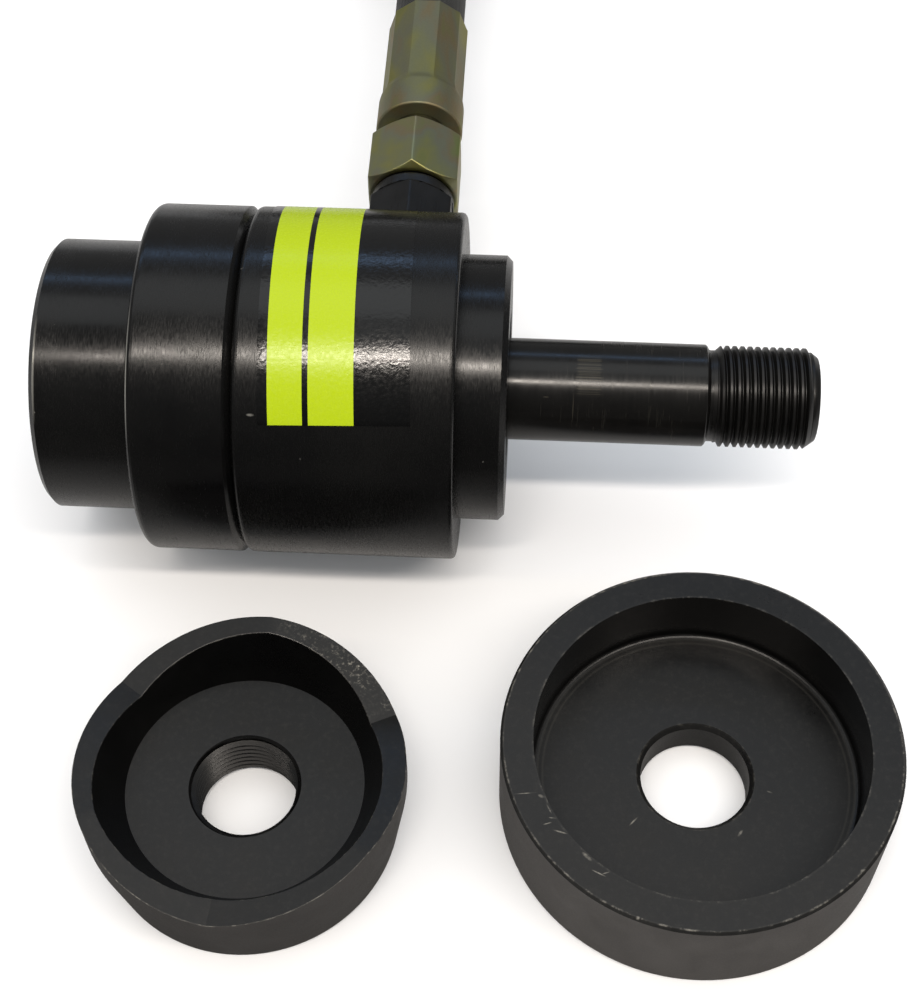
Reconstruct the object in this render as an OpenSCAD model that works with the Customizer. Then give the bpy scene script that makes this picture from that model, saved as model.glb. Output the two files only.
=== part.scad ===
// Hydraulic hole punch: a short pull cylinder with its draw stud, pressure hose, punch and die.
// Millimetres. The draw stud runs along +X, the nose face is at X = 0, the hose leaves along +Y
// and +Z is up. The cylinder lies on its side on a table, with the punch and the die in front.

/* [Head] */
// Outside diameter of the cylinder body and of the rear collar
body_d = 68; // [62:0.5:80]
// Length of the full-diameter cylinder body
body_len = 40.6; // [36:0.2:46]
// Diameter of the nose that the die seats on
nose_d = 52; // [46:0.5:60]
// Length of the nose in front of the body
nose_len = 9.2; // [6:0.2:14]
// Diameter of the spring boss at the rear
boss_d = 53; // [48:0.5:60]
// Length of the spring boss behind the collar
boss_len = 19.5; // [16:0.5:30]
// Thickness of the rear end wall
rear_wall = 5; // [3:0.5:8]
// Wall behind the collar's inside thread
collar_wall = 4.2; // [3:0.2:8]
// Bevel on the nose's front edge
nose_bevel = 1.1; // [0.4:0.1:2]
// Radius on the body's front edge
body_front_r = 1; // [0.4:0.1:2]
// Radius on the body's rear edge
body_rear_r = 1.2; // [0.4:0.1:2]
// Bevel on the collar's front edge, half of the groove at the joint
collar_bevel = 1.5; // [0.5:0.1:2.5]
// Radius on the collar's rear edge
collar_rear_r = 1.5; // [0.4:0.1:2.5]
// Bevel on the boss's rear edge
boss_bevel = 1; // [0.4:0.1:2]
// Breather hole in the rear wall
breather_d = 3; // [2:0.5:5]

/* [Ram] */
// Bore of the cylinder
bore_d = 50; // [49:0.2:53]
// Wall of the rear collar over the spigot's thread
thread_wall = 4; // [3:0.1:5]
// Diameter of the piston rod
rod_d = 30; // [28:0.2:31]
// Working stroke
stroke = 16; // [10:0.5:18]
// Length of the piston head
piston_len = 14; // [13:0.5:18]
// How far the rod end sits below the nose face
rod_recess = 1; // [0.5:0.1:2]
// Depth of the spring seat in the piston
spring_seat = 5; // [2:0.5:6]
// Outside diameter of the return spring
spring_od = 36; // [30:0.5:38]
// Wire of the return spring
spring_wire = 3.5; // [2.5:0.1:4]
// Turns of the return spring
spring_turns = 6.5; // [5:0.5:7]

/* [Seals] */
// Radial section of the rod seal
rod_seal_section = 3.5; // [2.5:0.1:4]
// Length of the rod seal
rod_seal_len = 3.5; // [2.5:0.1:4]
// Length of a back-up ring
backup_len = 1.5; // [1:0.1:2]
// Distance from the rod end, fully drawn in, to the rod seal
seal_lead = 4; // [2:0.5:5]
// Radial section of the piston seal
piston_seal_section = 3.5; // [2.5:0.1:4]
// Length of the piston seal
piston_seal_len = 4.5; // [3:0.1:5]
// Radial section of the piston's guide ring
guide_section = 2; // [1.5:0.1:2.5]
// Length of the piston's guide ring
guide_len = 3; // [2:0.1:3.5]

/* [Draw stud] */
// Diameter of the stud's plain shank
stud_d = 20; // [18:0.1:22]
// Length of the shank in front of the nose face
shank_len = 38.7; // [30:0.1:60]
// Length of the stud's outer thread, relief neck included
thread_len = 21.3; // [14:0.1:30]
// Pitch of the stud's threads
thread_pitch = 1.5; // [1:0.25:2]
// Length of the stud's inner thread in the rod
root_len = 25; // [18:0.5:26]
// Width of the relief neck between shank and thread
neck_len = 1.6; // [1:0.1:3]
// Bevel at the stud's free end
stud_bevel = 2.3; // [1:0.1:3]

/* [Port and fitting] */
// Distance from the nose face back to the oil port
port_setback = 22.3; // [20:0.1:24]
// Thread diameter of the oil port
port_d = 12; // [10:0.5:13]
// Drilled oil way from the port to the cylinder
oil_d = 3; // [2:0.1:3.4]
// Spot face round the port
spot_d = 22; // [21:0.5:25]
// Sealing washer, outside diameter
washer_d = 20; // [17:0.5:20.5]
// Sealing washer, thickness
washer_t = 1.5; // [1:0.1:2.5]
// Nipple hexagon, across flats
nipple_af = 17; // [14:0.5:17]
// Nipple hexagon, length
nipple_hex_len = 13.7; // [10:0.1:18]
// Round collar between the nipple's hexagon and the nut, diameter
nipple_collar_d = 17.6; // [16.5:0.1:18.5]
// Round collar between the nipple's hexagon and the nut, length
nipple_collar_len = 2.7; // [1.5:0.1:4]
// Thread diameter of the swivel nut
nut_thread_d = 16; // [15.5:0.1:16.4]
// Swivel nut, across flats
nut_af = 19; // [18.8:0.1:21]
// Swivel nut, length
nut_len = 15.1; // [12.6:0.1:18]
// Bare stem between the nut and the ferrule
stem_bare_len = 4.6; // [3.5:0.1:12]
// Stem diameter in the nut's far end
stem_d = 12; // [11:0.1:12.6]
// Ferrule, length
ferrule_len = 34.5; // [30:0.5:50]
// Ferrule, diameter of its uncrimped collar
ferrule_d = 18.9; // [18.5:0.1:20]
// Ferrule, length of its uncrimped collar
ferrule_collar_len = 10; // [8:0.5:18]
// Ferrule, width across the crimped flats
crimp_af = 17; // [16.6:0.1:17.8]

/* [Hose] */
// Outside diameter of the hose
hose_d = 16; // [15.5:0.1:16.4]
// Diameter of the hose where its cover is skived under the ferrule
skived_d = 14.5; // [14:0.1:14.8]
// Inside diameter of the hose
hose_id = 8; // [6:0.1:8.4]
// Radius of the coil where its turns reverse
coil_r = 76; // [66:1:90]
// Step from one turn of the coil to the next, sideways and upwards
coil_step = 16.6; // [16.5:0.1:18]
// Turns in the coil
coil_turns = 2.1; // [2.1:1:2.1]
// Thickness of a hook-and-loop coil tie
tie_t = 1.2; // [0.8:0.1:2]
// Width of a coil tie
tie_w = 16; // [10:1:20]

/* [Punch] */
// Diameter of the cutting edge
punch_d = 60; // [54:0.5:66]
// Diameter of the punch's relieved base
punch_base_d = 56; // [50:0.5:60]
// Height of the cutting tips above the base
punch_tip_h = 22.8; // [21:0.1:30]
// Depth of the valleys between the tips
punch_valley = 4.5; // [2:0.1:6]
// Height at which the straight cutting band starts
punch_band_h = 14.5; // [10:0.5:17]
// Thickness of the threaded web
punch_web = 12; // [8:0.5:13.5]
// Diameter of the slug cup at its floor
cup_floor_d = 44; // [40:0.5:48]
// Side angle of the slug cup, from the axis
cup_angle = 24.6; // [15:0.2:26]
// Direction of the first tip, seen from above
tip_angle = 85; // [0:1:119]

/* [Die] */
// Outside diameter of the die
die_d = 73; // [71:0.5:85]
// Height of the die
die_h = 22; // [18:0.5:30]
// Thickness of the die's web
die_web = 8.2; // [6:0.2:12]
// Bevel round the die's bore
die_bore_bevel = 0.85; // [0.3:0.05:1.5]
// Radius at the foot of the die's wall
die_foot_r = 1; // [0.4:0.1:2]
// Bevel on the die's outer edges
die_bevel = 0.5; // [0.2:0.1:1]

/* [Places on the table] */
// Gap from the plane of the nose face to the die's edge
die_gap_x = 1.3; // [0.5:0.1:20]
// Gap from the stud's axis to the die's edge
die_gap_y = 33.3; // [30:0.1:60]
// Gap from the plane of the nose face to the punch's edge
punch_gap_x = 15.3; // [10:0.1:30]
// Gap from the stud's axis to the punch's edge
punch_gap_y = 47.7; // [42:0.1:80]

/* [Clearances] */
// Radial clearance of sliding and screwed fits
fit_gap = 0.05; // [0.02:0.01:0.1]
// Clearance between faces that must not bind
face_gap = 0.1; // [0.05:0.05:0.3]
// Clearance of the draw stud in the die
die_stud_gap = 0.3; // [0.1:0.05:1]
// Clearance of the punch in the die
shear_gap = 1; // [0.3:0.1:2]
// Clearance between a coil tie and the hose
tie_gap = 0.6; // [0.4:0.1:0.9]

/* [Hidden] */
$fn = 96;
arc_steps = 5;

// Head, along X
body_r = body_d / 2;
nose_r = nose_d / 2;
bore_r = bore_d / 2;
rod_r = rod_d / 2;
gland_r = rod_r + fit_gap;
gland_bevel = 0.6;
table_z = -body_r;
port_x = -port_setback;
port_wall = 1.7;
gland_land = 4;
rod_groove_len = rod_seal_len + backup_len;
rod_groove_x = -(rod_recess + stroke + seal_lead);
rod_groove_r = rod_r + rod_seal_section;
gland_len = max(port_setback + port_d / 2 + port_wall, rod_groove_len - rod_groove_x + gland_land);
joint_x = -(nose_len + body_len);

// Oil way: the port ends short of the rod seal, and the piston's front boss leaves the way open
port_floor = 2;
port_end_r = rod_groove_r + port_floor;
oil_land = 0.4;
oil_r = port_end_r + oil_d / 2 + oil_land;
piston_boss_r = oil_r - oil_d / 2 - 2 * oil_land;
piston_boss_len = 2.9;

// Piston, along X, with the rod drawn out
piston_front_x = -(gland_len + face_gap);
head_front_x = piston_front_x - piston_boss_len;
head_rear_x = head_front_x - piston_len;
head_r = bore_r - fit_gap;
head_land = 1.5;
seal_groove_x = head_front_x - head_land;
seal_groove_len = piston_seal_len + backup_len;
seal_groove_r = bore_r - piston_seal_section;
guide_groove_x = head_rear_x + head_land + guide_len;
guide_groove_r = bore_r - guide_section;
stud_hole_extra = 1;

// Spigot and rear housing, along X
spigot_r = body_r - thread_wall;
spigot_spare = 2;
spigot_x = head_rear_x - stroke - spigot_spare;
spigot_bevel = (spigot_r - bore_r) / 5;
housing_seat_x = spigot_x - 3 * face_gap;
collar_x = spigot_x - collar_wall;
rear_x = collar_x - boss_len;
boss_r = boss_d / 2;
spring_room = 2;
spring_room_r = spring_od / 2 + spring_room;
spring_x0 = head_rear_x + spring_seat;
spring_x1 = rear_x + rear_wall;

// Draw stud, along X: its threads are plain, at their pitch diameter
stud_r = stud_d / 2;
stud_thread_r = stud_r - 0.3248 * thread_pitch;
neck_r = stud_r - 0.5 * thread_pitch;
shank_bevel = 0.4;
stud_end_x = shank_len + thread_len;
tap_r = stud_r - 0.5413 * thread_pitch;

// Fitting, measured along its own axis from the cylinder's axis
spot_depth = 0.1;
spot_s = sqrt(pow(body_r, 2) - pow(spot_d / 2, 2)) - spot_depth;
hex_s = spot_s + washer_t;
collar_s = hex_s + nipple_hex_len;
neck_s = collar_s + nipple_collar_len;
nut_s = neck_s + 3 * face_gap;
nut_end_s = nut_s + nut_len;
ferrule_s = nut_end_s + stem_bare_len;
hose_s = ferrule_s + ferrule_len;
nipple_bore_d = 5;
nipple_thread_s = oil_r + oil_d / 2 + oil_land;
nut_thread_r = nut_thread_d / 2;
stem_r = stem_d / 2;
nut_hole_r = stem_r + face_gap + fit_gap;
nut_shoulder_s = nut_end_s - 0.8 - (nut_thread_r - nut_hole_r);
nipple_end_s = nut_shoulder_s - 2;
cone_half_angle = 12;
cone_tip_r = 3.9;
cone_len = 7.5;
cone_tip_s = nipple_end_s - cone_len;
cone_end_r = cone_tip_r + cone_len * tan(cone_half_angle);
shoulder_r = nut_thread_r - 0.45;
ferrule_web = 4;
crimp_flats = 10;
barb_count = 6;
barb_h = 0.25;
hose_bore_r = hose_id / 2 + barb_h + fit_gap;
hex_bevel_angle = 30;

// Hose: the route points that are not coiled are offsets from where the hose leaves its ferrule
hose_r = hose_d / 2;
run_sides = 10;
coil_sides = 6;
coil_rings = 24;
exit_point = [port_x, hose_s, 0];
run_offsets = [
    [0, 0, 0], [0, 14, 0], [0, 28, -1], [-1, 42, -5], [-3, 55, -10],
    [-7, 68, -15], [-13, 80, -20], [-20.5, 91.5, -23]
];
// Coil: its middle on the table, its start direction and the height of its lower layer
coil_mid = [-2, 290.5];
coil_start_angle = 225;
coil_z = table_z + tie_t + tie_gap + hose_r;
climb_turns = 0.5;
tie_rings = [9, 16];
// Tail: direction and distance from the coil's middle, and height over the lower layer
tail_polar = [[165, 102, 16], [147, 109.5, 12], [130, 115, 7], [113, 117.5, 3.5], [97, 117, 1.6]];
tail_end_h = 1.5;
tail_end_y = 116.5;
tail_end_x = 16;
far_point = [coil_mid[0] + tail_end_x, coil_mid[1] + tail_end_y, coil_z + tail_end_h];

// Punch and die on the table
punch_r = punch_d / 2;
punch_at = [-(punch_gap_x + punch_r), -(punch_gap_y + punch_r), table_z];
tip_count = 3;
tap_bevel = 1.2;
valley_slope = punch_valley / (punch_r * sin(180 / tip_count));
die_r = die_d / 2;
die_cup_r = punch_r + shear_gap / 2;
die_bore_r = stud_r + die_stud_gap / 2;
die_at = [die_gap_x + die_r, -(die_gap_y + die_r), table_z];

// Points of an arc, from one angle to another
function arc(c, r, a0, a1) =
    [for (i = [0:arc_steps]) let (a = a0 + (a1 - a0) * i / arc_steps) c + r * [cos(a), sin(a)]];
function unit(v) = v / norm(v);
function smooth(u) = u <= 0 ? 0 : u >= 1 ? 1 : u * u * (3 - 2 * u);

// A point of the coil after some turns: it winds in, climbs one layer and winds out again
function coil_radius(t) = coil_r + coil_step * abs(t - coil_turns / 2);
function coil_height(t) = coil_step * smooth((t - coil_turns / 2) / climb_turns + 0.5);
function coil_angle(t) = coil_start_angle - 360 * t;
function coil_point(t) = [
    coil_mid[0] + coil_radius(t) * cos(coil_angle(t)),
    coil_mid[1] + coil_radius(t) * sin(coil_angle(t)),
    coil_z + coil_height(t)
];
function chord_mid(i) = (coil_point(i / coil_rings) + coil_point((i + 1) / coil_rings)) / 2;
function from_mid(p) = norm([p[0], p[1]] - coil_mid);
way_step = 0.001;
coil_in_way = unit(coil_point(way_step) - coil_point(0));
coil_out_way = unit(coil_point(coil_turns) - coil_point(coil_turns - way_step));
coil_in = coil_point(0) - hose_d * coil_in_way;
coil_out = coil_point(coil_turns) + hose_d * coil_out_way;
coil_last_ring = floor(coil_turns * coil_rings);
coil_path = concat(
    [coil_in],
    [for (i = [0:coil_last_ring]) coil_point(i / coil_rings)],
    [coil_point(coil_turns), coil_out]
);
run_path = concat([for (p = run_offsets) exit_point + p], [coil_in - hose_r * coil_in_way, coil_in]);
tail_path = concat(
    [coil_out, coil_out + hose_r * coil_out_way],
    [for (p = tail_polar)
        [coil_mid[0] + p[1] * cos(p[0]), coil_mid[1] + p[1] * sin(p[0]), coil_z + p[2]]],
    [far_point - [hose_d, 0, 0], far_point]
);

// A point of the return spring after some turns: its end turns are wound close
spring_r = (spring_od - spring_wire) / 2;
spring_rings = 12;
spring_close = spring_wire + 0.5;
spring_rise = spring_x0 - spring_x1 - spring_wire - 2 * face_gap;
spring_mid_turns = spring_turns - 2;
function spring_way(t) =
    t < 1 ? t * spring_close :
    t > spring_turns - 1 ? spring_rise - (spring_turns - t) * spring_close :
    spring_close + (t - 1) * (spring_rise - 2 * spring_close) / spring_mid_turns;
function spring_point(t) = [
    spring_x1 + face_gap + spring_wire / 2 + spring_way(t),
    spring_r * cos(360 * t),
    spring_r * sin(360 * t)
];
spring_path = [for (i = [0:spring_turns * spring_rings]) spring_point(i / spring_rings)];

// Least gap between turns of a wound tube, measured between points over a half turn apart
function least_gap(points, half_turn, d) =
    min([for (i = [0:len(points) - 1]) for (j = [i + half_turn:1:len(points) - 1])
        norm(points[i] - points[j])]) - d;
function path_length(p) = [for (i = [1:len(p) - 1]) norm(p[i] - p[i - 1])] * [for (i = [1:len(p) - 1]) 1];
echo(coil_least_gap = least_gap(
    [for (i = [0:2 * coil_last_ring]) coil_point(i / coil_rings / 2)], coil_rings, hose_d));
echo(spring_least_gap = least_gap(spring_path, spring_rings / 2, spring_wire));
echo(hose_free_length = path_length(run_path) + path_length(coil_path) + path_length(tail_path));

// A round tube swept along points: rings of corners, joined by triangles and closed at both ends
function way_at(p, i) = unit(p[min(i + 1, len(p) - 1)] - p[max(i - 1, 0)]);
module tube(path, r, sides, up) {
    corners = [for (i = [0:len(path) - 1])
        let (way = way_at(path, i), side = unit(cross(up, way)), rise = cross(way, side))
        for (k = [0:sides - 1])
            path[i] + r * (cos(90 + k * 360 / sides) * side + sin(90 + k * 360 / sides) * rise)];
    last = (len(path) - 1) * sides;
    walls = [for (i = [0:len(path) - 2]) for (k = [0:sides - 1])
        let (a = i * sides + k, b = i * sides + (k + 1) % sides)
        for (f = [[a, a + sides, b + sides], [a, b + sides, b]]) f];
    start_cap = [for (k = [1:sides - 2]) [0, k, k + 1]];
    end_cap = [for (k = [1:sides - 2]) [last, last + k + 1, last + k]];
    polyhedron(corners, concat(walls, start_cap, end_cap));
}

// Profiles are points of [radius, place along the axis]
module on_x() { rotate([0, 90, 0]) children(); }
module on_port() { translate([port_x, 0, 0]) rotate([-90, 0, 0]) children(); }
module on_far_end() { translate(far_point) rotate([0, -90, 0]) translate([0, 0, -hose_s]) children(); }
module turned(profile) { rotate_extrude() polygon(profile); }
module ring(r0, r1, x0, x1) { on_x() turned([[r0, x0], [r1, x0], [r1, x1], [r0, x1]]); }

// A hexagon bar with both ends turned to a bevel, one corner facing up
module hexagon(af, s0, s1) {
    corner_r = af / 2 / cos(30);
    face_r = af / 2 * 0.97;
    drop = (corner_r - face_r) * tan(hex_bevel_angle);
    intersection() {
        translate([0, 0, s0]) linear_extrude(s1 - s0) rotate(30) circle(corner_r, $fn = 6);
        turned([[0, s0], [face_r, s0], [corner_r, s0 + drop], [corner_r, s1 - drop], [face_r, s1], [0, s1]]);
    }
}

// Cylinder with nose, gland, bore and threaded spigot, drilled for the oil port
module cylinder_body() {
    color("#26272a") difference() {
        on_x() turned(concat(
            [[gland_r + gland_bevel, 0], [nose_r - nose_bevel, 0]],
            [[nose_r, -nose_bevel], [nose_r, -nose_len]],
            arc([body_r - body_front_r, -nose_len - body_front_r], body_front_r, 90, 0),
            arc([body_r - body_rear_r, joint_x + body_rear_r], body_rear_r, 0, -90),
            [[spigot_r, joint_x], [spigot_r, spigot_x + spigot_bevel], [spigot_r - spigot_bevel, spigot_x]],
            [[bore_r + spigot_bevel, spigot_x], [bore_r, spigot_x + spigot_bevel], [bore_r, -gland_len]],
            [[gland_r, -gland_len], [gland_r, rod_groove_x - rod_groove_len]],
            [[rod_groove_r, rod_groove_x - rod_groove_len], [rod_groove_r, rod_groove_x]],
            [[gland_r, rod_groove_x], [gland_r, -gland_bevel]]
        ));
        on_port() {
            translate([0, 0, spot_s]) cylinder(h = body_r, d = spot_d);
            translate([0, 0, port_end_r]) cylinder(h = body_r, d = port_d + 2 * fit_gap);
        }
        translate([port_x, oil_r, 0]) rotate([0, -90, 0])
            cylinder(h = gland_len - port_setback + 1, d = oil_d);
    }
}

// Collar and spring boss in one piece, screwed over the spigot up to the body's rear face
module rear_housing() {
    thread_r = spigot_r + fit_gap;
    color("#232427") on_x() turned(concat(
        [[thread_r, joint_x], [body_r - collar_bevel, joint_x], [body_r, joint_x - collar_bevel]],
        arc([body_r - collar_rear_r, collar_x + collar_rear_r], collar_rear_r, 0, -90),
        [[boss_r, collar_x], [boss_r, rear_x + boss_bevel], [boss_r - boss_bevel, rear_x]],
        [[breather_d / 2, rear_x], [breather_d / 2, spring_x1], [spring_room_r, spring_x1]],
        [[spring_room_r, housing_seat_x], [thread_r, housing_seat_x]]
    ));
}

// Lip seal on the rod: a ring with a groove in the face towards the oil
module rod_seal() {
    x0 = rod_groove_x - backup_len - fit_gap;
    x1 = rod_groove_x - rod_groove_len + fit_gap;
    mid_r = rod_r + rod_seal_section / 2;
    lip = rod_seal_section / 5;
    color("#c9a227") on_x() turned([
        [gland_r, x0], [rod_groove_r - fit_gap, x0], [rod_groove_r - fit_gap, x1], [mid_r + lip, x1],
        [mid_r, (x0 + x1) / 2], [mid_r - lip, x1], [gland_r, x1]
    ]);
}

// Stiff ring that keeps the rod seal out of the gland's gap
module rod_backup_ring() {
    color("#e8e4d8")
        ring(gland_r, rod_groove_r - fit_gap, rod_groove_x - fit_gap, rod_groove_x - backup_len + fit_gap);
}

// Rod and piston head in one piece, tapped for the stud and recessed for the spring
module piston() {
    rod_bevel = 0.8;
    tap_clear_r = stud_thread_r + fit_gap;
    tap_x = -(rod_recess + root_len + stud_hole_extra);
    seat_r = spring_od / 2 + 1;
    head_bevel = 0.6;
    color("#8f9296") on_x() turned([
        [0, tap_x], [tap_clear_r, tap_x], [tap_clear_r, -rod_recess],
        [rod_r - rod_bevel, -rod_recess], [rod_r, -rod_recess - rod_bevel],
        [rod_r, piston_front_x], [piston_boss_r, piston_front_x], [piston_boss_r, head_front_x],
        [head_r - head_bevel, head_front_x], [head_r, head_front_x - head_bevel],
        [head_r, seal_groove_x], [seal_groove_r, seal_groove_x],
        [seal_groove_r, seal_groove_x - seal_groove_len], [head_r, seal_groove_x - seal_groove_len],
        [head_r, guide_groove_x], [guide_groove_r, guide_groove_x],
        [guide_groove_r, guide_groove_x - guide_len], [head_r, guide_groove_x - guide_len],
        [head_r, head_rear_x + head_bevel], [head_r - head_bevel, head_rear_x],
        [seat_r, head_rear_x], [seat_r, spring_x0], [0, spring_x0]
    ]);
}

// Lip seal on the piston: a ring with a groove in the face towards the oil
module piston_seal() {
    x0 = seal_groove_x - fit_gap;
    x1 = seal_groove_x - piston_seal_len + fit_gap;
    in_r = seal_groove_r + fit_gap;
    mid_r = bore_r - piston_seal_section / 2;
    lip = piston_seal_section / 5;
    color("#c9a227") on_x() turned([
        [in_r, x1], [head_r, x1], [head_r, x0], [mid_r + lip, x0],
        [mid_r, (x0 + x1) / 2], [mid_r - lip, x0], [in_r, x0]
    ]);
}

// Stiff ring behind the piston seal
module piston_backup_ring() {
    x0 = seal_groove_x - piston_seal_len - fit_gap;
    color("#e8e4d8") ring(seal_groove_r + fit_gap, head_r, x0, x0 - backup_len + 2 * fit_gap);
}

// Bearing ring that carries the piston in the bore
module piston_guide_ring() {
    color("#7a5a35")
        ring(guide_groove_r + fit_gap, bore_r - fit_gap / 2, guide_groove_x - fit_gap,
            guide_groove_x - guide_len + fit_gap);
}

// Draw stud: inner thread, plain shank, relief neck and outer thread
module draw_stud() {
    root_x = -(rod_recess + root_len);
    neck_x = shank_len + neck_len;
    color("#2b2a29") on_x() turned([
        [0, root_x], [stud_thread_r - 1, root_x], [stud_thread_r, root_x + 1],
        [stud_thread_r, -rod_recess], [stud_r - shank_bevel, -rod_recess], [stud_r, shank_bevel - rod_recess],
        [stud_r, shank_len - shank_bevel], [neck_r, shank_len], [neck_r, neck_x],
        [stud_thread_r, neck_x + stud_thread_r - neck_r], [stud_thread_r, stud_end_x - stud_bevel],
        [stud_thread_r - stud_bevel * 0.7, stud_end_x], [0, stud_end_x]
    ]);
}

// Return spring between the piston and the rear wall
module return_spring() { color("#6d7074") tube(spring_path, spring_wire / 2, 6, [1, 0, 0]); }

// Nipple: port thread, hexagon, round collar and cone-seat thread, drilled through
module port_nipple() {
    cone_gap_r = cone_tip_r + fit_gap;
    color("#1d1e20") on_port() difference() {
        union() {
            turned([[0, nipple_thread_s], [port_d / 2, nipple_thread_s], [port_d / 2, hex_s], [0, hex_s]]);
            hexagon(nipple_af, hex_s, collar_s);
            turned([
                [0, collar_s], [nipple_collar_d / 2, collar_s], [nipple_collar_d / 2, neck_s],
                [nut_thread_r, neck_s], [nut_thread_r, nipple_end_s], [0, nipple_end_s]
            ]);
        }
        turned([
            [0, nipple_thread_s - 1], [nipple_bore_d / 2, nipple_thread_s - 1],
            [nipple_bore_d / 2, cone_tip_s - face_gap], [cone_gap_r, cone_tip_s - face_gap],
            [cone_gap_r, cone_tip_s], [cone_end_r + fit_gap, nipple_end_s],
            [cone_end_r + fit_gap, nipple_end_s + 1], [0, nipple_end_s + 1]
        ]);
    }
}

// Sealing washer between the nipple and the spot face
module port_washer() {
    color("#a8673c") on_port() turned([
        [port_d / 2 + fit_gap, spot_s], [washer_d / 2, spot_s],
        [washer_d / 2, hex_s], [port_d / 2 + fit_gap, hex_s]
    ]);
}

// Swivel nut: threaded for the nipple, with a sloping shoulder that draws the stem in
module nut_shape() {
    bore = nut_thread_r + fit_gap;
    difference() {
        hexagon(nut_af, nut_s, nut_end_s);
        turned([
            [0, nut_s - 1], [bore + 0.5, nut_s - 1], [bore + 0.5, nut_s], [bore, nut_s + 0.5],
            [bore, nut_shoulder_s], [nut_hole_r, nut_shoulder_s + bore - nut_hole_r],
            [nut_hole_r, nut_end_s + 1], [0, nut_end_s + 1]
        ]);
    }
}

// Stem: cone seat, shoulder, neck and barbed tail, drilled through
module stem_shape() {
    bore = 2.5;
    tail_r = hose_id / 2;
    tail_s = ferrule_s + ferrule_web;
    tail_end_s = hose_s - 2;
    barb_step = (tail_end_s - tail_s) / barb_count;
    shoulder_s = nipple_end_s + face_gap;
    slope_s = nut_shoulder_s + nut_thread_r - shoulder_r - face_gap;
    barbs = [for (i = [0:barb_count - 1]) let (s = tail_s + i * barb_step)
        for (p = [[tail_r + barb_h, s], [tail_r, s + barb_step]]) p];
    turned(concat(
        [[bore, cone_tip_s], [cone_tip_r, cone_tip_s], [cone_end_r, nipple_end_s], [cone_end_r, shoulder_s]],
        [[shoulder_r, shoulder_s], [shoulder_r, slope_s], [stem_r, slope_s + shoulder_r - stem_r]],
        [[stem_r, tail_s]],
        barbs,
        [[bore, tail_end_s]]
    ));
}

// Skived hose end between the stem's barbs and the ferrule
module hose_end_shape() {
    s0 = ferrule_s + ferrule_web + face_gap;
    turned([[hose_bore_r, s0], [skived_d / 2, s0], [skived_d / 2, hose_s], [hose_bore_r, hose_s]]);
}

// Ferrule: a turned collar, then flats where the crimping dies closed
module ferrule_shape() {
    collar_r = ferrule_d / 2;
    crimp_s = ferrule_s + ferrule_collar_len;
    crimp_r = crimp_af / 2 + 0.3;
    edge = 0.5;
    web_s = ferrule_s + ferrule_web;
    sleeve_r = skived_d / 2 + fit_gap;
    difference() {
        union() {
            turned([
                [0, ferrule_s], [collar_r - edge, ferrule_s], [collar_r, ferrule_s + edge],
                [collar_r, crimp_s - edge], [collar_r - edge, crimp_s], [0, crimp_s]
            ]);
            intersection() {
                translate([0, 0, crimp_s - 1]) linear_extrude(hose_s - crimp_s + 1)
                    rotate(90 + 180 / crimp_flats)
                        circle(crimp_af / 2 / cos(180 / crimp_flats), $fn = crimp_flats);
                turned([
                    [0, crimp_s - 1], [crimp_r, crimp_s - 1], [crimp_r, hose_s - edge],
                    [crimp_r - edge, hose_s], [0, hose_s]
                ]);
            }
        }
        turned([
            [0, ferrule_s - 1], [stem_r + fit_gap, ferrule_s - 1], [stem_r + fit_gap, web_s],
            [sleeve_r, web_s], [sleeve_r, hose_s + 1], [0, hose_s + 1]
        ]);
    }
}

zinc = "#a89a4f";
module swivel_nut() { color(zinc) on_port() nut_shape(); }
module hose_stem() { color(zinc) on_port() stem_shape(); }
module hose_end() { color("#151515") on_port() hose_end_shape(); }
module hose_ferrule() { color(zinc) on_port() ferrule_shape(); }
module far_hose_end() { color("#151515") on_far_end() hose_end_shape(); }
module far_ferrule() { color(zinc) on_far_end() ferrule_shape(); }
module far_stem() { color(zinc) on_far_end() stem_shape(); }
module far_swivel_nut() { color(zinc) on_far_end() nut_shape(); }

// Hose from the ferrule down to the table, its coil, and its tail to the far fitting
module hose_run() { color("#151515") tube(run_path, hose_r, run_sides, [0, 0, 1]); }
module hose_coil() { color("#151515") tube(coil_path, hose_r, coil_sides, [0, 0, 1]); }
module hose_tail() { color("#151515") tube(tail_path, hose_r, run_sides, [0, 0, 1]); }

// Round-ended strap loop, from one hose centre to the one above it
module strap_outline(r, lean, reach) {
    rotate(-lean) {
        circle(r);
        translate([-r, 0]) square([2 * r, reach]);
        translate([0, reach]) circle(r);
    }
}

// Hook-and-loop ties round the two layers of the coil, each midway between two rings
module coil_ties() {
    color("#1b1b1b") for (i = tie_rings) {
        low = chord_mid(i);
        high = chord_mid(i + coil_rings);
        over = from_mid(high) - from_mid(low);
        rise = high[2] - low[2];
        inside_r = hose_r + tie_gap;
        translate(low) rotate([0, 0, coil_angle((i + 0.5) / coil_rings)]) rotate([90, 0, 0])
            linear_extrude(tie_w, center = true) difference() {
                strap_outline(inside_r + tie_t, atan2(over, rise), norm([over, rise]));
                strap_outline(inside_r, atan2(over, rise), norm([over, rise]));
            }
    }
}

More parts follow.
